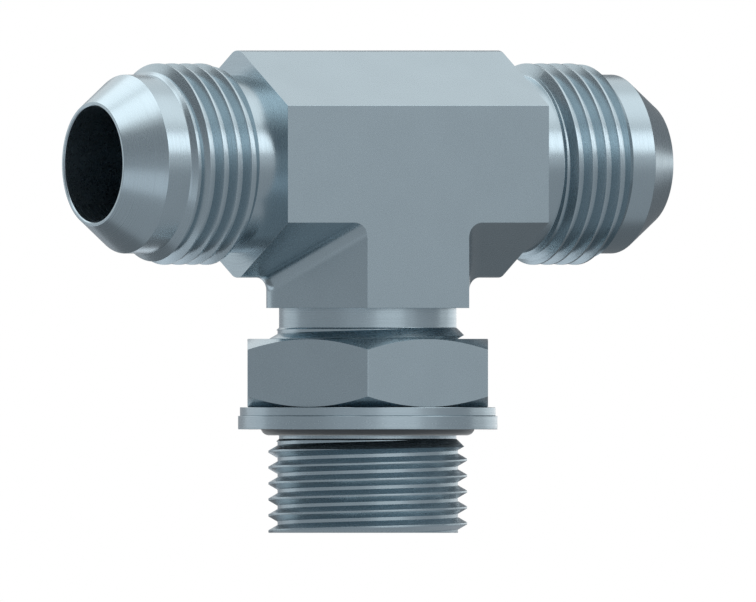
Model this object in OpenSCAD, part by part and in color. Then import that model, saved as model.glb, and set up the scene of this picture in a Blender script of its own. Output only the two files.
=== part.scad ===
// Adjustable tee adapter: a forged hexagonal tee with two 37 degree flared ends on its run and an
// adjustable stud on its branch. Millimetres. The run lies along X and the branch points down, with
// its axis on the Z axis and its end face on Z = 0. All threads are right-handed helices.

/* [Tee body] */
// Size across the flats of the hexagonal run and leg
body_af = 27; // [24:0.1:30]
// Radius of the rounded upper and lower points of the hexagons
point_round_r = 2.84; // [1:0.02:5]
// Length of the hexagonal run from end face to end face
run_hex_l = 40.1; // [36:0.1:44]
// Distance from the run axis down to the bottom face of the leg
leg_drop = 19.15; // [17:0.05:24]
// Radius of the blends in the inner corners of the tee
corner_r = 2.1; // [1:0.1:3]
// Diameter of the bores through the run and the branch
bore_d = 15.5; // [10:0.1:17]

/* [Flared ends] */
// Distance from the branch axis to the face of each flared nose
end_reach = 42.2; // [38:0.1:50]
// Half angle of the flare cone
flare_angle = 37; // [30:1:45]
// Width of the flat ring on the nose face
nose_flat_w = 0.5; // [0.3:0.05:1.5]
// Axial length of the plain land behind the cone
land_l = 3.4; // [2:0.1:5]
// How deep the land lies under the root of the thread
land_sunk = 0.28; // [0.1:0.02:0.6]
// Major diameter of the thread on the flared ends
end_thread_d = 26.8; // [24:0.1:29]
// Length of the plain neck between the thread and the run
end_neck_l = 3.4; // [2:0.1:5]
// How deep the neck lies under the root of the thread
end_neck_sunk = 0.38; // [0.1:0.02:0.8]
// Radius of the small blend from the neck into the end face of the run
neck_blend_r = 0.4; // [0.2:0.1:3]

/* [Stud] */
// Major diameter of the stud thread
stud_thread_d = 26.44; // [24:0.02:29]
// Length of the lower thread with its chamfer
lower_thread_l = 12.5; // [8:0.1:18]
// Length of the undercut between the two threads
undercut_l = 8; // [6:0.1:12]
// Length of the upper thread with its chamfers
upper_thread_l = 6.8; // [5:0.1:14]
// Length of the plain neck between the upper thread and the leg
stud_neck_l = 2.6; // [1:0.1:5]
// How deep the undercut and the neck lie under the root of the thread
undercut_sunk = 0.2; // [0.1:0.02:0.6]

/* [Threads] */
// Pitch of every thread
pitch = 2.117; // [2:0.001:2.5]
// Depth of every thread
thread_depth = 1.22; // [1:0.01:1.35]
// Flat on the crests of every thread
thread_crest = 0.27; // [0.15:0.01:0.4]
// Half angle of the thread flanks
thread_flank = 30; // [25:1:32]
// Flat facets in one turn of a thread
thread_facets = 36; // [24:2:48]
// Radial clearance between the stud thread and the nut thread
thread_clear = 0.18; // [0.1:0.01:0.3]
// Angle that the thread on the right-hand end is turned to
right_thread_turn = 23; // [0:1:360]
// Angle that the thread on the left-hand end is turned to
left_thread_turn = 305; // [0:1:360]
// Angle that the stud thread is turned to
stud_thread_turn = 116; // [0:1:360]

/* [Lock nut] */
// Wall of the lock nut from the stud thread to the middle of a flat
nut_wall = 2.78; // [2:0.02:5]
// Height of the lock nut
nut_h = 9.1; // [6:0.1:10]
// Angle of the chamfers that trim the corners of the nut
nut_chamfer = 30; // [15:1:35]
// Depth of the lead-in past the thread, at both ends of the nut
nut_lead_in = 0.3; // [0.1:0.05:0.6]

/* [Seal stack] */
// Section diameter of the O-ring
seal_section = 2.3; // [2:0.05:2.5]
// Height by which the O-ring stands out under the retaining ring
seal_stand = 0.8; // [0.5:0.05:1.2]
// Clearance of the O-ring round the undercut
seal_clear = 0.15; // [0.05:0.05:0.3]
// Gap between the O-ring and the lower thread
seal_lift = 0.45; // [0.2:0.05:1]
// Width of the retaining ring from its bore to its rim
ring_w = 2.9; // [1.5:0.05:4]
// Thickness of the retaining ring
ring_t = 1.8; // [1.6:0.05:2.4]
// Clearance of the retaining ring round the O-ring
ring_clear = 0.1; // [0.05:0.05:0.3]
// Thickness of the support washer
washer_t = 1.15; // [0.8:0.05:1.6]
// How far the rim of the support washer stands back from the rim of the retaining ring
washer_set_in = 0.25; // [0:0.05:1]
// Clearance of the support washer round the undercut
washer_clear = 0.35; // [0.2:0.05:0.6]
// Chamfer on the outer edges of the washer and the ring
disc_edge = 0.15; // [0.05:0.05:0.3]

/* [Hidden] */
$fn = 96;
steel = [0.56, 0.62, 0.66];
disc_steel = [0.62, 0.68, 0.72];
rubber = [0.26, 0.29, 0.31];
// How far a cutting tool runs past what it cuts, and a joining piece into what it joins
past = 1;
// How deep the foot of a thread ridge lies under the surface that carries it
foot_sunk = 0.05;

// Stud, measured upwards from its end face
stud_major_r = stud_thread_d / 2;
stud_root_r = stud_major_r - thread_depth;
undercut_r = stud_root_r - undercut_sunk;
undercut_top = lower_thread_l + undercut_l;
upper_thread_top = undercut_top + upper_thread_l;
leg_z = upper_thread_top + stud_neck_l;
run_z = leg_z + leg_drop;

// Hexagon of the run and the leg
flat_r = body_af / 2;
half_side = flat_r * tan(30);
round_mid = (flat_r - point_round_r) / cos(30);
point_r = round_mid + point_round_r;
run_end = run_hex_l / 2;
// The blend in the inner corner ends before the end faces do
blend_r = min(corner_r, run_end - point_r, leg_drop - point_r);

// Flared end, measured outwards from the branch axis
end_major_r = end_thread_d / 2;
end_root_r = end_major_r - thread_depth;
end_neck_r = end_root_r - end_neck_sunk;
land_r = end_root_r - land_sunk;
nose_r = bore_d / 2 + nose_flat_w;
flare_start = end_reach - (land_r - nose_r) / tan(flare_angle);
land_start = flare_start - land_l;
end_thread_start = run_end + end_neck_l;
end_blend_r = min(neck_blend_r, end_neck_l, flat_r - end_neck_r);

// Seal stack and lock nut, from the O-ring upwards
seal_r = undercut_r + seal_clear + seal_section / 2;
seal_z = lower_thread_l + seal_lift + seal_section / 2;
ring_z = lower_thread_l + seal_lift + seal_stand;
washer_z = ring_z + ring_t;
nut_z = washer_z + washer_t;
ring_bore_r = seal_r + seal_section / 2 + ring_clear;
ring_rim_r = ring_bore_r + ring_w;
washer_rim_r = ring_rim_r - washer_set_in;
nut_flat_r = stud_major_r + nut_wall;
nut_major_r = stud_major_r + thread_clear;
nut_minor_r = stud_root_r + thread_clear;

// Hexagon across the flats, with a cap of a circle on its upper and its lower point
module rounded_hexagon() {
    cap_half = point_round_r * sin(30);
    cap_foot = round_mid + point_round_r * cos(30);
    polygon([
        [flat_r, -half_side], [flat_r, half_side], [cap_half, cap_foot], [-cap_half, cap_foot],
        [-flat_r, half_side], [-flat_r, -half_side], [-cap_half, -cap_foot], [cap_half, -cap_foot]
    ]);
    for (side = [0, 180])
        rotate(side)
            intersection() {
                translate([0, round_mid])
                    circle(point_round_r);
                translate([-point_round_r, cap_foot])
                    square(2 * point_round_r);
            }
}

// Right-handed ridge round the Z axis, which runs past the heights z0 and z1. Its section is a triangle
// with its foot sunk under the root of the thread and its sharp edge past major_r. The outline that it
// is cut with leaves the flat on its crest.
module thread_ridge(major_r, z0, z1, turn) {
    edge_r = major_r + thread_crest / 2 / tan(thread_flank);
    foot_r = major_r - thread_depth - foot_sunk;
    foot_half = thread_crest / 2 + (major_r - foot_r) * tan(thread_flank);
    first = floor(z0 / pitch - 1) * thread_facets;
    last = ceil(z1 / pitch + 1) * thread_facets;
    points = [
        for (i = [first:last])
            let (a = i * 360 / thread_facets + turn, z = i * pitch / thread_facets)
            each [
                [foot_r * cos(a), foot_r * sin(a), z - foot_half],
                [edge_r * cos(a), edge_r * sin(a), z],
                [foot_r * cos(a), foot_r * sin(a), z + foot_half]
            ]
    ];
    sides = [
        for (i = [0:last - first - 1], k = [0:2])
            let (a = 3 * i + k, b = 3 * i + (k + 1) % 3)
            each [[a, b, b + 3], [a, b + 3, a + 3]]
    ];
    n = len(points);
    polyhedron(points, concat([[2, 1, 0]], sides, [[n - 3, n - 2, n - 1]]));
}

// Hexagonal run with its axis on X, and hexagonal leg below it
module hexagonal_tee() {
    translate([-run_end, 0, run_z])
        rotate([90, 0, 90])
            linear_extrude(run_hex_l)
                rounded_hexagon();
    translate([0, 0, leg_z])
        rotate(90)
            linear_extrude(leg_drop)
                rounded_hexagon();
}

// Blend in the inner corner between the run and the leg, on the +X side. Both follow the same hexagon,
// so the corner runs out and back along Y, and the blend is one section lofted along it.
module corner_blend() {
    steps = 6;
    function corner_section(y, h) = concat(
        [[h - past, y, past - h], [h - past, y, -h - blend_r]],
        [
            for (i = [0:steps])
                let (t = i * 90 / steps)
                [h + blend_r * (1 - cos(t)), y, -h - blend_r * (1 - sin(t))]
        ],
        [[h + blend_r, y, past - h]]
    );
    slices = concat(
        [corner_section(-flat_r, half_side)],
        [
            for (a = [-30:10:30])
                corner_section(point_round_r * sin(a), round_mid + point_round_r * cos(a))
        ],
        [corner_section(flat_r, half_side)]
    );
    n = len(slices[0]);
    sides = [
        for (s = [0:len(slices) - 2], k = [0:n - 1])
            [s * n + k, s * n + (k + 1) % n, (s + 1) * n + (k + 1) % n, (s + 1) * n + k]
    ];
    last = (len(slices) - 1) * n;
    ends = [for (k = [1:n - 2]) each [[0, k + 1, k], [last, last + k, last + k + 1]]];
    translate([0, 0, run_z])
        polyhedron([for (s = slices) each s], concat(sides, ends));
}

// Plain form of a flared end, turned about Z: neck, thread root, land, cone and nose face
module flared_core() {
    root_step = end_neck_sunk * tan(thread_flank);
    rotate_extrude() {
        polygon([
            [0, run_end - past], [end_neck_r, run_end - past], [end_neck_r, end_thread_start],
            [end_root_r, end_thread_start + root_step], [end_root_r, land_start - land_sunk],
            [land_r, land_start], [land_r, flare_start], [nose_r, end_reach], [0, end_reach]
        ]);
        difference() {
            translate([0, run_end - past])
                square([end_neck_r + end_blend_r, past + end_blend_r]);
            translate([end_neck_r + end_blend_r, run_end + end_blend_r])
                circle(end_blend_r);
        }
    }
}

// Outline that the thread ridge of a flared end is cut to, with its run-out and its chamfer
module flared_thread_outline() {
    run_out = (end_major_r - end_neck_r) * tan(thread_flank);
    rotate_extrude()
        polygon([
            [0, end_thread_start], [end_neck_r, end_thread_start],
            [end_major_r, end_thread_start + run_out],
            [end_major_r, land_start + land_r - end_major_r], [land_r, land_start], [0, land_start]
        ]);
}

// One threaded flared end, on +Z
module flared_end(turn) {
    flared_core();
    intersection() {
        translate([0, 0, end_thread_start])
            thread_ridge(end_major_r, 0, land_start - end_thread_start, turn);
        flared_thread_outline();
    }
}

// Plain form of the stud: two threaded lengths at their root size, the undercut and the neck
module stud_core() {
    rotate_extrude()
        polygon([
            [0, 0], [stud_root_r, 0], [stud_root_r, lower_thread_l - undercut_sunk],
            [undercut_r, lower_thread_l], [undercut_r, undercut_top],
            [stud_root_r, undercut_top + undercut_sunk], [stud_root_r, upper_thread_top - undercut_sunk],
            [undercut_r, upper_thread_top], [undercut_r, leg_z + past], [0, leg_z + past]
        ]);
}

// Outlines of the two threaded lengths of the stud, with their chamfers
module stud_thread_outline() {
    chamfer = stud_major_r - undercut_r;
    rotate_extrude() {
        polygon([
            [0, 0], [stud_major_r, 0], [stud_major_r, lower_thread_l - chamfer],
            [undercut_r, lower_thread_l], [0, lower_thread_l]
        ]);
        polygon([
            [0, undercut_top], [undercut_r, undercut_top], [stud_major_r, undercut_top + chamfer],
            [stud_major_r, upper_thread_top - chamfer], [undercut_r, upper_thread_top],
            [0, upper_thread_top]
        ]);
    }
}

// Stud with its end face on Z = 0. One helix runs through both threaded lengths.
module stud() {
    stud_core();
    intersection() {
        thread_ridge(stud_major_r, 0, upper_thread_top, stud_thread_turn);
        stud_thread_outline();
    }
}

// The tee is one forging, turned, threaded and bored
module tee_body() {
    color(steel)
        difference() {
            union() {
                hexagonal_tee();
                corner_blend();
                mirror([1, 0, 0])
                    corner_blend();
                translate([0, 0, run_z]) {
                    rotate([0, 90, 0])
                        flared_end(right_thread_turn);
                    rotate([0, -90, 0])
                        flared_end(left_thread_turn);
                }
                stud();
            }
            translate([-end_reach - past, 0, run_z])
                rotate([0, 90, 0])
                    cylinder(d = bore_d, h = 2 * (end_reach + past));
            translate([0, 0, -past])
                cylinder(d = bore_d, h = run_z + past);
        }
}

// The lock nut is tapped: the stud's own ridge, grown by the clearance, cuts its groove, so the nut
// runs along the stud on the same helix
module lock_nut() {
    nut_point_r = nut_flat_r / cos(30);
    fall = (nut_point_r + past - nut_flat_r) * tan(nut_chamfer);
    mouth_r = nut_major_r + nut_lead_in;
    color(steel)
        difference() {
            translate([0, 0, nut_z])
                intersection() {
                    cylinder(r = nut_point_r, h = nut_h, $fn = 6);
                    rotate_extrude()
                        polygon([
                            [0, 0], [nut_flat_r, 0], [nut_point_r + past, fall],
                            [nut_point_r + past, nut_h - fall], [nut_flat_r, nut_h], [0, nut_h]
                        ]);
                }
            translate([0, 0, nut_z])
                rotate_extrude()
                    polygon([
                        [0, -past], [mouth_r + past, -past], [nut_minor_r, mouth_r - nut_minor_r],
                        [nut_minor_r, nut_h - mouth_r + nut_minor_r], [mouth_r + past, nut_h + past],
                        [0, nut_h + past]
                    ]);
            thread_ridge(nut_major_r, nut_z, nut_z + nut_h, stud_thread_turn);
        }
}

// Flat ring between two radii, with its outer edges broken
module disc(inner_r, outer_r, z, t) {
    translate([0, 0, z])
        rotate_extrude()
            polygon([
                [inner_r, 0], [outer_r - disc_edge, 0], [outer_r, disc_edge],
                [outer_r, t - disc_edge], [outer_r - disc_edge, t], [inner_r, t]
            ]);
}

module support_washer() {
    color(disc_steel)
        disc(undercut_r + washer_clear, washer_rim_r, washer_z, washer_t);
}

module retaining_ring() {
    color(disc_steel)
        disc(ring_bore_r, ring_rim_r, ring_z, ring_t);
}

module o_ring() {
    color(rubber)
        translate([0, 0, seal_z])
            rotate_extrude()
                translate([seal_r, 0])
                    circle(d = seal_section);
}

tee_body();
lock_nut();
support_washer();
retaining_ring();
o_ring();
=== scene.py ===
"""Adjustable tee adapter: the looks of the fitting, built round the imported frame. Metres, +Z up.

The run lies along X and the stud points down with its end face on the floor. Every piece is drawn
as a line of its section, turned or swept into a solid, and joined and cut with modifiers.
"""

import math

import bmesh
import bpy
from mathutils import Matrix, Vector


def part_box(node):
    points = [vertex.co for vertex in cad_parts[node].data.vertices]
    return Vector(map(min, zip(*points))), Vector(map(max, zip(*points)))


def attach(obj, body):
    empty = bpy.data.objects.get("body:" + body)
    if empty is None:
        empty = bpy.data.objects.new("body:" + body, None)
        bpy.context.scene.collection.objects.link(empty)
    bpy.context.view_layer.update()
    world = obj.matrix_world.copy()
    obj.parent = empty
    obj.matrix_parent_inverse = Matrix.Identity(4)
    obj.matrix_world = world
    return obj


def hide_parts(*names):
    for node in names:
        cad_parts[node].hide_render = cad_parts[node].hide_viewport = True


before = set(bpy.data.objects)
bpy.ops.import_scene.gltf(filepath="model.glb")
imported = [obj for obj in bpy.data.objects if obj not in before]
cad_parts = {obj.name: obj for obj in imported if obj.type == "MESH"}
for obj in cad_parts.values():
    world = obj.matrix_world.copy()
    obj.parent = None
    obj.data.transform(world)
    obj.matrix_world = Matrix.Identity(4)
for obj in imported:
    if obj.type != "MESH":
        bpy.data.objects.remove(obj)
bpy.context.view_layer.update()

MM = 0.001
TURN = 2 * math.pi
QUARTER = math.pi / 2

# Half the turn from one side of a hexagon to the next
HALF_SIDE = math.radians(30)

# Tee body
tee_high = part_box("tee_body")[1]
body_flat_r = 13.5 * MM
point_round_r = 2.84 * MM
body_point_r = (body_flat_r - point_round_r) / math.cos(HALF_SIDE) + point_round_r
run_z = tee_high.z - body_point_r
run_end = 20.05 * MM
leg_z = run_z - 19.15 * MM
corner_r = 2.1 * MM
bore_r = 7.75 * MM
mouth_ease = 0.15 * MM
forged_edge = 0.04 * MM

# Share of the corner's radius that its blend reaches square to the sloping inner edge
corner_slant = 0.894

# Flared ends, measured outwards from the branch axis
end_reach = tee_high.x
flare_angle = math.radians(37)
nose_r = bore_r + 0.5 * MM
end_major_r = 13.4 * MM
thread_depth = 1.22 * MM
end_root_r = end_major_r - thread_depth
end_neck_r = end_root_r - 0.38 * MM
land_r = end_root_r - 0.28 * MM
end_thread_start = run_end + 3.4 * MM
flare_start = end_reach - (land_r - nose_r) / math.tan(flare_angle)
land_start = flare_start - 3.4 * MM
flare_ease = 0.12 * MM
right_thread_turn = math.radians(23)
left_thread_turn = math.radians(305)

# Stud, measured upwards from its end face
stud_major_r = 13.22 * MM
stud_root_r = stud_major_r - thread_depth
undercut_r = stud_root_r - 0.2 * MM
lower_thread_l = 12.5 * MM
undercut_top = 20.5 * MM
upper_thread_top = leg_z - 2.6 * MM
stud_thread_turn = math.radians(116)

# Threads. A ridge has a skirt on both sides of its foot, just under the root, and is sunk in the core
pitch = 2.117 * MM
thread_crest = 0.27 * MM
thread_flank = math.radians(30)
thread_clear = 0.18 * MM
crest_ease = 0.02 * MM
root_ease = 0.02 * MM
skirt_w = 0.2 * MM
skirt_sunk = 0.004 * MM
foot_sunk = 0.06 * MM
outline_past = 0.02 * MM

# Lock nut
nut_low, nut_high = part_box("lock_nut")
nut_flat_r = nut_high.y
nut_point_r = nut_flat_r / math.cos(HALF_SIDE)
nut_face_r = nut_flat_r - 0.1 * MM
nut_h = nut_high.z - nut_low.z
nut_chamfer = math.radians(30)
nut_chamfer_ease = 0.3 * MM
nut_edge = 0.08 * MM
nut_mouth_r = stud_major_r + thread_clear + 0.3 * MM
nut_minor_r = stud_root_r + thread_clear

# Seal stack
washer_low, washer_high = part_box("support_washer")
ring_low, ring_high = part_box("retaining_ring")
seal_low, seal_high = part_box("o_ring")
washer_bore_r = undercut_r + 0.35 * MM
seal_section_r = (seal_high.z - seal_low.z) / 2
ring_bore_r = seal_high.x + 0.1 * MM
disc_ease = 0.08 * MM
flash_w = 0.09 * MM
flash_h = 0.03 * MM

# Ease on the corners of what is turned
turned_ease = 0.1 * MM

# How finely curves are drawn
ROUND_STEPS = 192
THREAD_STEPS = 120
SEAL_STEPS = 46
POINT_SEGMENTS = 12
CORNER_SEGMENTS = 8
EDGE_SEGMENTS = 3
EASE_STEP = math.radians(15)
SMOOTH_ANGLE = math.radians(25)

# Share of a side that an ease may take, where the side's other corner is eased too and where it isn't
SHARED_SIDE = 0.45
OWN_SIDE = 0.98

# How far a cutting tool or a joined piece goes past the face where it starts
PAST = 1 * MM

# Points that are nearer to one another than this are one
MERGE_GAP = 0.002 * MM
FORGING_GAP = 0.01 * MM

# Turns of an edge: of one that is left out, of an inner corner and of an outer edge
FLAT_TURN = math.radians(1)
INNER_TURN = math.radians(-10)
OUTER_TURN = math.radians(25)


def alone(piece):
    """Selects one piece and nothing else."""
    bpy.ops.object.select_all(action="DESELECT")
    piece.select_set(True)
    bpy.context.view_layer.objects.active = piece


def eased(corners):
    """The points of a line of corners (radius, height), each rounded where its ease comes third."""
    points = []
    for i, (r, z, *ease) in enumerate(corners):
        here = Vector((r, z))
        if not ease:
            points.append(here)
            continue
        back = Vector(corners[i - 1][:2]) - here
        ahead = Vector(corners[i + 1][:2]) - here
        half_corner = back.angle(ahead) / 2
        reach = ease[0] / math.tan(half_corner)
        for side, neighbour in ((back, corners[i - 1]), (ahead, corners[i + 1])):
            reach = min(reach, side.length * (SHARED_SIDE if len(neighbour) > 2 else OWN_SIDE))
        middle = (back.normalized() + ahead.normalized()).normalized()
        centre = here + middle * math.hypot(reach * math.tan(half_corner), reach)
        start = here + back.normalized() * reach - centre
        sweep = start.angle_signed(here + ahead.normalized() * reach - centre)
        count = max(2, math.ceil(abs(sweep) / EASE_STEP))
        for k in range(count + 1):
            step = start.copy()
            step.rotate(Matrix.Rotation(-sweep * k / count, 2))
            points.append(centre + step)
    return points


def arc(centre, radius, first, last, count):
    """Points round a centre, from one angle to another, in radians."""
    angles = [first + (last - first) * k / count for k in range(count + 1)]
    return [(centre[0] + radius * math.cos(angle), centre[1] + radius * math.sin(angle))
            for angle in angles]


def single_point(name):
    """A piece of one point at the origin, in edit mode, with the point selected."""
    bpy.ops.object.select_all(action="DESELECT")
    bpy.ops.mesh.primitive_plane_add(size=MM)
    piece = bpy.context.object
    piece.name = piece.data.name = name
    bpy.ops.object.mode_set(mode="EDIT")
    bpy.ops.mesh.select_mode(type="VERT")
    bpy.ops.mesh.select_all(action="SELECT")
    bpy.ops.mesh.merge(type="CENTER")
    return piece


def drawn(name, corners):
    """A line drawn round its corners in the XZ plane. Leaves the piece in edit mode, all selected."""
    piece = single_point(name)
    points = eased(corners)
    bpy.ops.transform.translate(value=(points[0].x, 0, points[0].y))
    for before, after in zip(points, points[1:]):
        step = (after.x - before.x, 0, after.y - before.y)
        bpy.ops.mesh.extrude_region_move(TRANSFORM_OT_translate={"value": step})
    bpy.ops.mesh.select_all(action="SELECT")
    return piece


def cleaned():
    """In edit mode, merges doubles, turns every face outwards and goes back to object mode."""
    bpy.ops.mesh.select_all(action="SELECT")
    bpy.ops.mesh.remove_doubles(threshold=MERGE_GAP)
    bpy.ops.mesh.normals_make_consistent(inside=False)
    bpy.ops.object.mode_set(mode="OBJECT")


def turned(name, corners):
    """A solid turned round the Z axis. The line of its section has both ends on the axis, or closes."""
    piece = drawn(name, corners)
    bpy.ops.mesh.spin(steps=ROUND_STEPS, angle=TURN, center=(0, 0, 0), axis=(0, 0, 1))
    cleaned()
    return piece


def thread_ridge(name, major_r, low, high, turn):
    """Right-handed ridge of a thread, swept past both heights, with its crest and its foot eased."""
    skirt_r = major_r - thread_depth - skirt_sunk
    foot_r = major_r - thread_depth - foot_sunk
    crest_half = thread_crest / 2
    root_half = crest_half + thread_depth * math.tan(thread_flank)
    skirt_half = root_half + skirt_w
    first = math.floor(low / pitch - 1)
    turns = math.ceil(high / pitch + 1) - first
    ridge = drawn(name, [
        (foot_r, -skirt_half),
        (skirt_r, -skirt_half),
        (skirt_r, -root_half, root_ease),
        (major_r, -crest_half, crest_ease),
        (major_r, crest_half, crest_ease),
        (skirt_r, root_half, root_ease),
        (skirt_r, skirt_half),
        (foot_r, skirt_half),
        (foot_r, -skirt_half),
    ])
    bpy.ops.mesh.remove_doubles(threshold=MERGE_GAP)
    bpy.ops.object.mode_set(mode="OBJECT")
    laid(ridge, (0, 0, turn), (0, 0, first * pitch))
    helix = ridge.modifiers.new("Helix", "SCREW")
    helix.axis = "Z"
    helix.angle = TURN
    helix.screw_offset = pitch
    helix.steps = helix.render_steps = THREAD_STEPS
    helix.iterations = turns
    bpy.ops.object.modifier_apply(modifier=helix.name)
    bpy.ops.object.mode_set(mode="EDIT")
    bpy.ops.mesh.select_all(action="SELECT")
    bpy.ops.mesh.fill_holes(sides=0)
    cleaned()
    return ridge


def combined(piece, other, operation):
    """Joins another solid to the piece, keeps what they share, or cuts it away, and uses it up."""
    alone(piece)
    work = piece.modifiers.new("Work", "BOOLEAN")
    work.operation = operation
    work.object = other
    work.solver = "MANIFOLD"
    bpy.ops.object.modifier_apply(modifier=work.name)
    bpy.data.objects.remove(other)
    return piece


def laid(piece, rotation, place):
    """Turns a solid and puts it in its place, with its object left at the origin."""
    alone(piece)
    piece.rotation_euler = rotation
    piece.location = place
    bpy.ops.object.transform_apply(location=True, rotation=True, scale=True)
    return piece


def hexagon(name, flat_r, length):
    """Hexagonal bar along Z, round the origin, with two of its edges over the Y axis."""
    bpy.ops.object.select_all(action="DESELECT")
    bpy.ops.mesh.primitive_cylinder_add(vertices=6, radius=flat_r / math.cos(HALF_SIDE), depth=length)
    bar = bpy.context.object
    bar.name = bar.data.name = name
    return bar


def round_edges(piece, wanted, offset, segments):
    """In edit mode, rounds the edges that are wanted."""
    bpy.ops.mesh.select_mode(type="EDGE")
    bpy.ops.mesh.select_all(action="DESELECT")
    mesh = bmesh.from_edit_mesh(piece.data)
    for edge in mesh.edges:
        edge.select_set(len(edge.link_faces) == 2 and wanted(edge))
    bmesh.update_edit_mesh(piece.data)
    bpy.ops.mesh.bevel(offset=offset, segments=segments, profile=0.5, affect="EDGES")


def corner_angle(edge):
    """Angle between the two faces at an edge, negative in an inner corner."""
    angle = edge.calc_face_angle()
    return angle if edge.is_convex else -angle


def forged_bar(name, length, rotation, place):
    """Hexagonal bar with two opposite points rounded, which end up above and below or left and right."""
    bar = hexagon(name, body_flat_r, length)
    bpy.ops.object.mode_set(mode="EDIT")
    round_edges(bar, lambda edge: all(abs(end.co.y) > body_flat_r for end in edge.verts),
                point_round_r * math.tan(HALF_SIDE), POINT_SEGMENTS)
    cleaned()
    return laid(bar, rotation, place)


def forging():
    """Hexagonal run and leg, with blends in the inner corners and small eased outer edges."""
    leg_l = run_z - leg_z
    run = forged_bar("tee", 2 * run_end, (QUARTER, 0, QUARTER), (0, 0, run_z))
    leg = forged_bar("leg", leg_l, (0, 0, QUARTER), (0, 0, leg_z + leg_l / 2))
    combined(run, leg, "UNION")
    bpy.ops.object.mode_set(mode="EDIT")
    bpy.ops.mesh.select_all(action="SELECT")
    bpy.ops.mesh.remove_doubles(threshold=FORGING_GAP)
    bpy.ops.mesh.dissolve_limited(angle_limit=FLAT_TURN)
    round_edges(run, lambda edge: corner_angle(edge) < INNER_TURN, corner_slant * corner_r,
                CORNER_SEGMENTS)
    round_edges(run, lambda edge: corner_angle(edge) > OUTER_TURN, forged_edge, EDGE_SEGMENTS)
    cleaned()
    return run


def flared_end(name, turn):
    """One threaded flared end, turned round Z: neck, thread, land, cone and nose face."""
    core = turned(name, [
        (0, run_end - PAST),
        (end_neck_r, run_end - PAST),
        (end_neck_r, end_thread_start, turned_ease),
        (end_root_r, end_thread_start + (end_root_r - end_neck_r) * math.tan(thread_flank), turned_ease),
        (end_root_r, land_start - (end_root_r - land_r), turned_ease),
        (land_r, land_start, turned_ease),
        (land_r, flare_start, flare_ease),
        (nose_r, end_reach, turned_ease),
        (0, end_reach),
    ])
    run_out = (end_major_r - end_neck_r) * math.tan(thread_flank)
    past_r = end_major_r + outline_past
    outline = turned(name + "_outline", [
        (0, end_thread_start),
        (end_neck_r, end_thread_start),
        (past_r, end_thread_start + run_out),
        (past_r, land_start + land_r - end_major_r),
        (land_r, land_start),
        (0, land_start),
    ])
    ridge = thread_ridge(name + "_ridge", end_major_r, 0, land_start - end_thread_start, turn)
    laid(ridge, (0, 0, 0), (0, 0, end_thread_start))
    combined(ridge, outline, "INTERSECT")
    return combined(core, ridge, "UNION")


def stud():
    """Stud with its end face on Z = 0: lower thread, undercut, upper thread and neck."""
    step = stud_root_r - undercut_r
    core = turned("stud", [
        (0, 0),
        (stud_root_r, 0, turned_ease),
        (stud_root_r, lower_thread_l - step, turned_ease),
        (undercut_r, lower_thread_l, turned_ease),
        (undercut_r, undercut_top, turned_ease),
        (stud_root_r, undercut_top + step, turned_ease),
        (stud_root_r, upper_thread_top - step, turned_ease),
        (undercut_r, upper_thread_top, turned_ease),
        (undercut_r, leg_z + PAST),
        (0, leg_z + PAST),
    ])
    chamfer = stud_major_r - undercut_r
    past_r = stud_major_r + outline_past
    for low, high, low_chamfer in ((0, lower_thread_l, 0), (undercut_top, upper_thread_top, chamfer)):
        outline = turned("stud_outline", [
            (0, low),
            (past_r - low_chamfer, low),
            (past_r, low + low_chamfer),
            (past_r, high - chamfer),
            (past_r - chamfer, high),
            (0, high),
        ])
        ridge = thread_ridge("stud_ridge", stud_major_r, 0, upper_thread_top, stud_thread_turn)
        combined(ridge, outline, "INTERSECT")
        combined(core, ridge, "UNION")
    return core


def bore_tool(name, length, both_mouths):
    """Turned tool that cuts a bore up Z from the origin. It opens the far mouth a little, or both."""
    mouth_r = bore_r + mouth_ease + PAST
    start = [(0, 0), (bore_r, 0)]
    if both_mouths:
        start = [(0, -PAST), (mouth_r, -PAST), (bore_r, mouth_ease, mouth_ease)]
    return turned(name, start + [
        (bore_r, length - mouth_ease, mouth_ease),
        (mouth_r, length + PAST),
        (0, length + PAST),
    ])


def tee_body():
    """The whole forging, turned, threaded and bored."""
    tee = forging()
    right_end = laid(flared_end("right_end", right_thread_turn), (0, QUARTER, 0), (0, 0, run_z))
    left_end = laid(flared_end("left_end", left_thread_turn), (0, -QUARTER, 0), (0, 0, run_z))
    for part in (right_end, left_end, stud()):
        combined(tee, part, "UNION")
    run_bore = bore_tool("run_bore", 2 * end_reach, True)
    laid(run_bore, (0, QUARTER, 0), (-end_reach, 0, run_z))
    branch_bore = bore_tool("branch_bore", run_z, False)
    laid(branch_bore, (math.pi, 0, 0), (0, 0, run_z))
    for bore in (run_bore, branch_bore):
        combined(tee, bore, "DIFFERENCE")
    return tee


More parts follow.
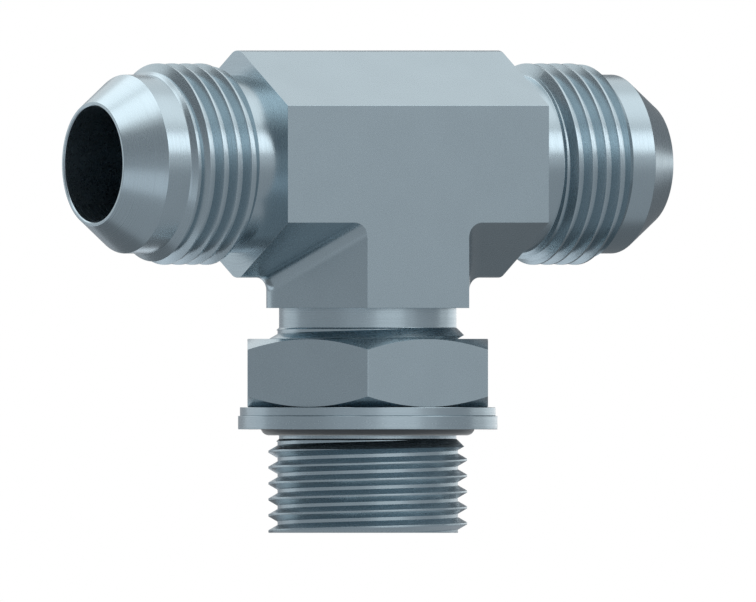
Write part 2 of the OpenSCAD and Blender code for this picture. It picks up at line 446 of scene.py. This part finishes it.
def lock_nut():
    """Hexagon nut with both faces chamfered, tapped on the stud's own helix."""
    nut = hexagon("nut", nut_flat_r, nut_h)
    laid(nut, (0, 0, QUARTER), (0, 0, nut_low.z + nut_h / 2))
    bpy.ops.object.mode_set(mode="EDIT")
    round_edges(nut, lambda edge: abs(edge.verts[0].co.z - edge.verts[1].co.z) > nut_h / 2,
                nut_edge, EDGE_SEGMENTS)
    cleaned()
    cone_r = nut_point_r + PAST
    fall = (cone_r - nut_flat_r) * math.tan(nut_chamfer)
    cone = turned("nut_cone", [
        (0, nut_low.z),
        (nut_face_r, nut_low.z, nut_chamfer_ease),
        (cone_r, nut_low.z + fall),
        (cone_r, nut_high.z - fall),
        (nut_face_r, nut_high.z, nut_chamfer_ease),
        (0, nut_high.z),
    ])
    combined(nut, cone, "INTERSECT")
    lead = nut_mouth_r - nut_minor_r
    hole = turned("nut_hole", [
        (0, nut_low.z - PAST),
        (nut_mouth_r + PAST, nut_low.z - PAST),
        (nut_minor_r, nut_low.z + lead, turned_ease),
        (nut_minor_r, nut_high.z - lead, turned_ease),
        (nut_mouth_r + PAST, nut_high.z + PAST),
        (0, nut_high.z + PAST),
    ])
    combined(nut, hole, "DIFFERENCE")
    tap = thread_ridge("nut_tap", stud_major_r + thread_clear, nut_low.z, nut_high.z, stud_thread_turn)
    return combined(nut, tap, "DIFFERENCE")


def disc(name, bore, low, high):
    """Flat ring with eased edges, between the lowest and the highest corner of its CAD node."""
    middle = (low.z + high.z) / 2
    return turned(name, [
        (bore, middle),
        (bore, low.z, disc_ease),
        (high.x, low.z, disc_ease),
        (high.x, high.z, disc_ease),
        (bore, high.z, disc_ease),
        (bore, middle),
    ])


def o_ring():
    """Rubber ring with the thin flash line of its mould round its rim."""
    centre = (seal_high.x - seal_section_r, (seal_low.z + seal_high.z) / 2)
    flash = math.asin(flash_w / 2 / seal_section_r)
    rim = centre[0] + seal_section_r + flash_h
    section = arc(centre, seal_section_r, flash, TURN - flash, SEAL_STEPS)
    flash_line = [(rim, centre[1] - flash_w / 4), (rim, centre[1] + flash_w / 4)]
    return turned("seal", section + flash_line + section[:1])


def smoothed(piece):
    """Smooth shading up to an angle, with the large faces kept flat."""
    alone(piece)
    bpy.ops.object.shade_smooth_by_angle(angle=SMOOTH_ANGLE)
    weight = piece.modifiers.new("Flat faces", "WEIGHTED_NORMAL")
    weight.keep_sharp = True
    bpy.ops.object.modifier_apply(modifier=weight.name)


def node_group(name, vectors, values, outputs):
    """Empty shader group with its sockets, of which the outputs are values."""
    group = bpy.data.node_groups.new(name, "ShaderNodeTree")
    for kind, sockets in (("NodeSocketVector", vectors), ("NodeSocketFloat", values)):
        for socket in sockets:
            group.interface.new_socket(socket, in_out="INPUT", socket_type=kind)
    for socket in outputs:
        group.interface.new_socket(socket, in_out="OUTPUT", socket_type="NodeSocketFloat")
    return group, group.nodes.new("NodeGroupInput"), group.nodes.new("NodeGroupOutput")


def noise(tree, vector, scale, detail, dimensions="3D"):
    """Noise texture in a node tree, with its vector and its scale from sockets."""
    texture = tree.nodes.new("ShaderNodeTexNoise")
    texture.noise_dimensions = dimensions
    texture.inputs["Detail"].default_value = detail
    tree.links.new(vector, texture.inputs["Vector"])
    tree.links.new(scale, texture.inputs["Scale"])
    return texture.outputs["Fac"]


def mottle_group():
    """Broad clouds and fine grain, as two values round 0.5."""
    group, given, out = node_group("Mottle", ("Place",), ("Cloud scale", "Grain scale"),
                                   ("Clouds", "Grain"))
    for output, scale, detail in (("Clouds", "Cloud scale", 2), ("Grain", "Grain scale", 3)):
        value = noise(group, given.outputs["Place"], given.outputs[scale], detail)
        group.links.new(value, out.inputs[output])
    return group


def vector_math(tree, operation, *sockets):
    """Vector Math node of one operation, fed from sockets."""
    node = tree.nodes.new("ShaderNodeVectorMath")
    node.operation = operation
    for i, socket in enumerate(sockets):
        tree.links.new(socket, node.inputs[i])
    return node


def tool_marks_group():
    """Marks of a turning tool: rings that change only along an axis and with the distance from it."""
    group, given, out = node_group("Tool marks", ("Place", "Centre", "Axis"), ("Ring scale",), ("Marks",))
    offset = vector_math(group, "SUBTRACT", given.outputs["Place"], given.outputs["Centre"])
    along = vector_math(group, "DOT_PRODUCT", offset.outputs["Vector"], given.outputs["Axis"])
    across = vector_math(group, "CROSS_PRODUCT", offset.outputs["Vector"], given.outputs["Axis"])
    radius = vector_math(group, "LENGTH", across.outputs["Vector"])
    rings = group.nodes.new("ShaderNodeCombineXYZ")
    group.links.new(along.outputs["Value"], rings.inputs["X"])
    group.links.new(radius.outputs["Value"], rings.inputs["Y"])
    value = noise(group, rings.outputs["Vector"], given.outputs["Ring scale"], 2, "2D")
    group.links.new(value, out.inputs["Marks"])
    return group


MOTTLE = mottle_group()
TOOL_MARKS = tool_marks_group()

# Nearly all of a noise lies between these values
NOISE_LOW = 0.25
NOISE_HIGH = 0.75

# Share of the tool marks in the relief of what is turned, the rest of which is grain
MARKS_SHARE = 0.7
RELIEF_STRENGTH = 0.25

STEEL = (0.42, 0.515, 0.565)
RUBBER = (0.05, 0.058, 0.065)


def spread(tree, value, low, high):
    """Maps a noise to a range."""
    ranged = tree.nodes.new("ShaderNodeMapRange")
    for socket, limit in (("From Min", NOISE_LOW), ("From Max", NOISE_HIGH), ("To Min", low),
                          ("To Max", high)):
        ranged.inputs[socket].default_value = limit
    tree.links.new(value, ranged.inputs["Value"])
    return ranged.outputs["Result"]


def placed_group(tree, group, place, **values):
    """A shader group in a material's tree, read at a place, with its own values."""
    node = tree.nodes.new("ShaderNodeGroup")
    node.node_tree = group
    tree.links.new(place, node.inputs["Place"])
    for name, value in values.items():
        node.inputs[name.replace("_", " ").capitalize()].default_value = value
    return node


def finish(name, tint, change, roughness, depth, cloud_scale, grain_scale, turned_on=None):
    """Material with clouds in its colour and grain in its roughness and relief, and tool marks where
    it is turned on an axis (centre, direction, ring scale)."""
    material = bpy.data.materials.new(name)
    material.use_nodes = True
    tree = material.node_tree
    shader = tree.nodes["Principled BSDF"]
    place = tree.nodes.new("ShaderNodeTexCoord").outputs["Object"]
    mottle = placed_group(tree, MOTTLE, place, cloud_scale=cloud_scale, grain_scale=grain_scale)
    colour = tree.nodes.new("ShaderNodeMix")
    colour.data_type = "RGBA"
    colour.inputs["A"].default_value = (*(c * (1 - change) for c in tint), 1)
    colour.inputs["B"].default_value = (*(c * (1 + change) for c in tint), 1)
    tree.links.new(spread(tree, mottle.outputs["Clouds"], 0, 1), colour.inputs["Factor"])
    tree.links.new(colour.outputs["Result"], shader.inputs["Base Color"])
    relief = mottle.outputs["Grain"]
    if turned_on:
        centre, axis, ring_scale = turned_on
        marks = placed_group(tree, TOOL_MARKS, place, centre=centre, axis=axis, ring_scale=ring_scale)
        blend = tree.nodes.new("ShaderNodeMix")
        blend.inputs["Factor"].default_value = MARKS_SHARE
        tree.links.new(relief, blend.inputs["A"])
        tree.links.new(marks.outputs["Marks"], blend.inputs["B"])
        relief = blend.outputs["Result"]
    tree.links.new(spread(tree, relief, *roughness), shader.inputs["Roughness"])
    bump = tree.nodes.new("ShaderNodeBump")
    bump.inputs["Strength"].default_value = RELIEF_STRENGTH
    bump.inputs["Distance"].default_value = depth
    tree.links.new(relief, bump.inputs["Height"])
    tree.links.new(bump.outputs["Normal"], shader.inputs["Normal"])
    return material, shader


def plated(name, roughness, turned_on=None):
    """Zinc-plated steel, with tool marks where it is turned on an axis."""
    material, shader = finish(name, STEEL, change=0.02, roughness=roughness, depth=0.00015 * MM,
                              cloud_scale=190, grain_scale=4200, turned_on=turned_on)
    shader.inputs["Metallic"].default_value = 1
    return material


def matt_rubber():
    """Rubber with a soft sheen."""
    material, shader = finish("Rubber", RUBBER, change=0.08, roughness=(0.5, 0.62), depth=0.004 * MM,
                              cloud_scale=260, grain_scale=3600)
    shader.inputs["Sheen Weight"].default_value = 1
    shader.inputs["Sheen Roughness"].default_value = 0.4
    return material


forged_steel = plated("Forged plated steel", (0.26, 0.3))
run_steel = plated("Turned plated steel, run", (0.24, 0.3), ((0, 0, run_z), (1, 0, 0), 3200))
stud_steel = plated("Turned plated steel, stud", (0.24, 0.3), ((0, 0, 0), (0, 0, 1), 3200))
disc_steel = plated("Turned plated steel, discs", (0.22, 0.29), ((0, 0, 0), (0, 0, 1), 2600))
rubber = matt_rubber()


def zoned(tee):
    """Gives the tee's turned ends and its stud the finish of their own turning."""
    margin = 0.01 * MM
    for steel in (forged_steel, run_steel, stud_steel):
        tee.data.materials.append(steel)
    for face in tee.data.polygons:
        if abs(face.center.x) > run_end - margin:
            face.material_index = 1
        elif face.center.z < leg_z + margin:
            face.material_index = 2


for piece, node, body, slot, coat in (
    (tee_body(), "tee_body", "tee", "body_steel", None),
    (lock_nut(), "lock_nut", "nut", "nut_steel", forged_steel),
    (disc("washer", washer_bore_r, washer_low, washer_high), "support_washer", "seal_stack",
     "washer_steel", disc_steel),
    (disc("ring", ring_bore_r, ring_low, ring_high), "retaining_ring", "seal_stack",
     "ring_steel", disc_steel),
    (o_ring(), "o_ring", "seal_stack", "seal_rubber", rubber),
):
    smoothed(piece)
    piece.data.materials.clear()
    if coat:
        piece.data.materials.append(coat)
    else:
        zoned(piece)
    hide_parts(node)
    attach(piece, body)

# Camera: a parallel view from the front left, level with the fitting
PIXEL = 0.133 * MM
PHOTO_W = 756
VIEW_TURN = -30
VIEW_SHIFT = 10.25 * PIXEL
VIEW_HEIGHT = 30.83 * MM
CAMERA_REACH = 0.5
to_camera = Vector((math.sin(math.radians(VIEW_TURN)), -math.cos(math.radians(VIEW_TURN)), 0))
to_right = Vector((0, 0, 1)).cross(to_camera)
camera_data = bpy.data.cameras.new("camera")
camera_data.type = "ORTHO"
camera_data.ortho_scale = PHOTO_W * PIXEL
camera = bpy.data.objects.new("camera", camera_data)
bpy.context.scene.collection.objects.link(camera)
camera.location = to_right * VIEW_SHIFT + Vector((0, 0, VIEW_HEIGHT)) + to_camera * CAMERA_REACH
camera.rotation_mode = "QUATERNION"
camera.rotation_quaternion = (-to_camera).to_track_quat("-Z", "Y")
bpy.context.scene.camera = camera

# Floor
FLOOR_SIZE = 4
FLOOR_GREY = (0.85, 0.85, 0.85, 1)
bpy.ops.object.select_all(action="DESELECT")
bpy.ops.mesh.primitive_plane_add(size=FLOOR_SIZE)
floor = bpy.context.object
floor.name = "floor"
floor_material = bpy.data.materials.new("Floor")
floor_material.use_nodes = True
floor_shader = floor_material.node_tree.nodes["Principled BSDF"]
floor_shader.inputs["Base Color"].default_value = FLOOR_GREY
floor_shader.inputs["Roughness"].default_value = 1
floor_shader.inputs["Specular IOR Level"].default_value = 0
floor.data.materials.append(floor_material)

# Boards, cards and lamps, which are all placed by angles in degrees from the camera, to its right
BOARD_REACH = 1.2
BOARD_HORIZON = Vector((0, 0, 0.04))
BOARD_STEP = 5
LAMP_HORIZON = Vector((0, 0, 0.035))
BOARD_TINT = (0.97, 1, 1.05, 1)


def facing(turn, height):
    """Direction at an angle from the camera, to its right, and at a height over the horizon."""
    around, up = math.radians(VIEW_TURN + turn), math.radians(height)
    return Vector((math.sin(around) * math.cos(up), -math.cos(around) * math.cos(up), math.sin(up)))


def painted(backdrop, level):
    """Gives a board or a card its level of grey and leaves it to reflections."""
    paint = bpy.data.materials.new(backdrop.name)
    paint.use_nodes = True
    tree = paint.node_tree
    tree.nodes.clear()
    glow = tree.nodes.new("ShaderNodeEmission")
    glow.inputs["Color"].default_value = BOARD_TINT
    glow.inputs["Strength"].default_value = level
    tree.links.new(glow.outputs["Emission"], tree.nodes.new("ShaderNodeOutputMaterial").inputs["Surface"])
    backdrop.data.materials.append(paint)
    backdrop.visible_camera = backdrop.visible_diffuse = backdrop.visible_shadow = False


def board(name, first, last, low, high, level):
    """Curved studio board between two angles and two heights, all in degrees. Only reflections show it."""
    backdrop = single_point(name)
    bottom, top = (BOARD_REACH * math.tan(math.radians(height)) for height in (low, high))
    foot = facing(first, 0) * BOARD_REACH + BOARD_HORIZON + Vector((0, 0, bottom))
    bpy.ops.transform.translate(value=foot)
    bpy.ops.mesh.extrude_region_move(TRANSFORM_OT_translate={"value": (0, 0, top - bottom)})
    bpy.ops.mesh.select_all(action="SELECT")
    bpy.ops.mesh.spin(steps=math.ceil((last - first) / BOARD_STEP), angle=-math.radians(last - first),
                      center=(0, 0, 0), axis=(0, 0, 1))
    bpy.ops.object.mode_set(mode="OBJECT")
    painted(backdrop, level)


def floor_card(name, turn, reach, wide, deep, level, lift=0.05 * MM):
    """Card just over the floor, its middle at an angle and a reach, whose level paints light or shade onto
    the floor. Only reflections show it.
    """
    bpy.ops.object.select_all(action="DESELECT")
    bpy.ops.mesh.primitive_plane_add(size=1)
    card = bpy.context.object
    card.name = card.data.name = name
    card.scale = (wide, deep, 1)
    card.rotation_euler.z = math.radians(VIEW_TURN + turn)
    card.location = facing(turn, 0) * reach + Vector((0, 0, lift))
    painted(card, level)


def softbox(name, turn, height, wide, tall, level):
    """Area light 1 m away, as wide and tall as two angles say, with the level it adds in the metal."""
    towards = facing(turn, height)
    data = bpy.data.lights.new(name, "AREA")
    data.shape = "RECTANGLE"
    data.size, data.size_y = (2 * math.tan(math.radians(half)) for half in (wide, tall))
    data.energy = level * math.pi * data.size * data.size_y
    lamp = bpy.data.objects.new(name, data)
    bpy.context.scene.collection.objects.link(lamp)
    lamp.location = LAMP_HORIZON + towards
    lamp.rotation_mode = "QUATERNION"
    lamp.rotation_quaternion = towards.to_track_quat("Z", "Y")


board("grey_surround", -104, 107, -3, 38, 0.4)
board("low_surround", -180, -104, -3, 15, 0.4)
board("left_flag", -113, -30, 12, 48, 0.12)
board("front_flag", -30, 12, 12, 43, 0.22)
board("rear_board", 112, 180, 5, 30, 0.24)

# Where two cards lie over one another, the one that shows has the higher lift
# Painted shade: the floor as the metal sees it, a darker grey than the lit floor
floor_card("painted_shade_card", 0, 0, 2.3, 2.3, 0.41, 0.02 * MM)
floor_card("bounce_card", -15, 0.24, 0.12, 0.28, 0.82)
# Painted shadow of the fitting on the floor behind it, which only reflections show
floor_card("painted_shadow_card", -165, 0.037, 0.3, 0.074, 0.2)
floor_card("painted_shadow_card_right", 142, 0.235, 0.3, 0.3, 0.2)
# Painted pools of light on the floor near the left end, which only reflections show
floor_card("painted_light_card_left", -102, 0.13, 0.09, 0.11, 1, 0.08 * MM)
floor_card("painted_light_card_rear", -152, 0.064, 0.03, 0.05, 1, 0.08 * MM)

softbox("key_right", 64, 25, 11, 11, 1.75)
softbox("overhead_left", -54, 68, 18, 16, 0.92)
softbox("rear_left", -142, 52, 16, 14, 0.8)
softbox("overhead_right", 96, 58, 22, 10, 0.4)
softbox("front", 29, 0, 19, 12, 0.55)
softbox("front_wide", 31, 0, 34, 14, 0.24)
softbox("left_rear", -123, 2, 19, 12, 0.5)
softbox("rear_right", 150, 0, 20, 5, 0.4)

# World: a white background for the camera and the metal, and plain soft light on the rest
ROOM_LEVEL = 0.65
BACKGROUND_LEVEL = 1
world = bpy.data.worlds.new("studio")
bpy.context.scene.world = world
world.use_nodes = True
nodes, links = world.node_tree.nodes, world.node_tree.links
nodes.clear()
output = nodes.new("ShaderNodeOutputWorld")
mix = nodes.new("ShaderNodeMixShader")
path = nodes.new("ShaderNodeLightPath")
for level, mixed in ((ROOM_LEVEL, mix.inputs[1]), (BACKGROUND_LEVEL, mix.inputs[2])):
    background = nodes.new("ShaderNodeBackground")
    background.inputs["Color"].default_value = (1, 1, 1, 1)
    background.inputs["Strength"].default_value = level
    links.new(background.outputs["Background"], mixed)
shows = path.outputs["Is Camera Ray"]
for ray in ("Is Glossy Ray", "Is Transmission Ray"):
    either = nodes.new("ShaderNodeMath")
    either.operation = "MAXIMUM"
    links.new(shows, either.inputs[0])
    links.new(path.outputs[ray], either.inputs[1])
    shows = either.outputs["Value"]
links.new(shows, mix.inputs["Fac"])
links.new(mix.outputs["Shader"], output.inputs["Surface"])

bpy.context.scene.view_settings.view_transform = "Standard"
